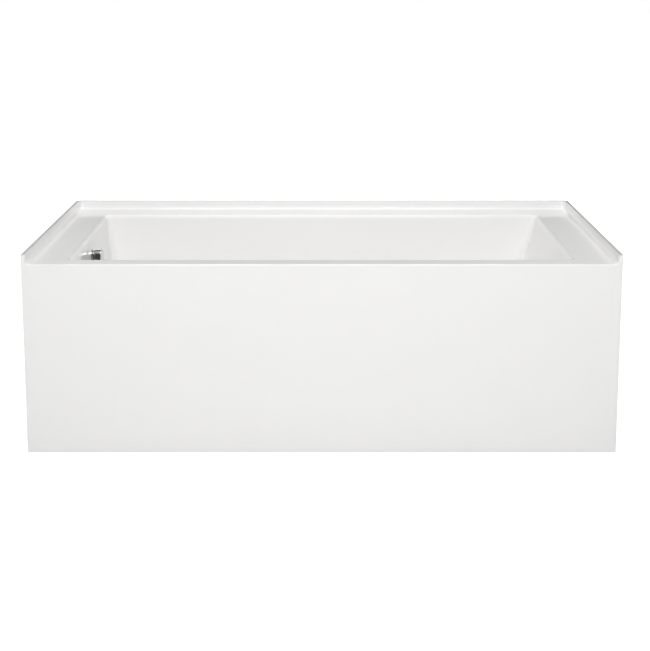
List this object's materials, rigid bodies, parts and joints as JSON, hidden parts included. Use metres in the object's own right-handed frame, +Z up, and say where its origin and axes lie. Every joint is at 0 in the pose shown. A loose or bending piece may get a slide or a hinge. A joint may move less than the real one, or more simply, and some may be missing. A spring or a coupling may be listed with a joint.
{
  "type": "alcove bathtub",
  "caption": "Alcove bathtub with flat skirt, tile flange on three sides, sloped backrest, turn-knob overflow with cable drive, pop-up drain stopper and waste pipework.",
  "frame": {"origin": "centre of the tub's footprint on the room's floor", "axes": "+X along the length towards the backrest end, -Y out of the skirt, +Z up"},
  "size_m": [1.524, 0.8128, 0.5234],
  "materials": {
    "acrylic": "gloss",
    "glass_fibre": "rough",
    "plywood": "sawn",
    "timber": "sawn",
    "pad_rubber": "matt",
    "seal_rubber": "matt",
    "chrome_plate": "polished",
    "screw_steel": "brushed",
    "spindle_brass": "turned",
    "pipe_plastic": "satin",
    "fitting_plastic": "satin",
    "nut_plastic": "satin",
    "cable_plastic": "satin"
  },
  "bodies": {
    "tub": {"tub_shell": "acrylic", "apron_panel": "acrylic", "shell_laminate": "glass_fibre", "apron_laminate": "glass_fibre", "base_board": "plywood", "apron_ribs": "plywood", "base_runners": "timber", "apron_bottom_rail": "timber", "apron_braces": "timber", "front_batten": "timber", "back_batten": "timber", "drain_end_batten": "timber", "backrest_end_batten": "timber", "foot_pads": "pad_rubber", "overflow_gasket": "seal_rubber", "spindle_seal": "seal_rubber", "shoe_gasket": "seal_rubber", "flange_gasket": "seal_rubber", "slip_washers": "seal_rubber", "overflow_escutcheon": "chrome_plate", "drain_flange": "chrome_plate", "overflow_screws": "screw_steel", "overflow_pipe": "pipe_plastic", "shoe_pipe": "pipe_plastic", "tailpiece": "pipe_plastic", "overflow_head": "fitting_plastic", "head_cover": "fitting_plastic", "waste_tee": "fitting_plastic", "drain_shoe": "fitting_plastic", "slip_nuts": "nut_plastic", "cable_clip": "nut_plastic", "cable_sheath": "cable_plastic"},
    "knob": {"overflow_knob": "chrome_plate", "knob_spindle": "spindle_brass", "knob_set_screw": "screw_steel"},
    "yoke": {"cable_yoke": "fitting_plastic"},
    "stopper": {"stopper_cap": "chrome_plate", "stopper_seal": "seal_rubber", "lift_pin": "spindle_brass"}
  },
  "joints": [
    {"name": "knob_turn", "type": "hinge", "parent": "tub", "child": "knob", "pos_m": [-0.627, -0.0269, 0.426], "axis": [1, 0, 0], "range_deg": [0, 90]},
    {"name": "yoke_slide", "type": "slide", "parent": "tub", "child": "yoke", "axis": [0, 0, -1], "range_m": [0, 0.0099]},
    {"name": "stopper_lift", "type": "slide", "parent": "tub", "child": "stopper", "axis": [0, 0, 1], "range_m": [0, 0.0099]}
  ],
  "couplings": [
    {"joint": "yoke_slide", "follows": "knob_turn", "m_per_rad": 0.0063},
    {"joint": "stopper_lift", "follows": "knob_turn", "m_per_rad": 0.0063}
  ]
}
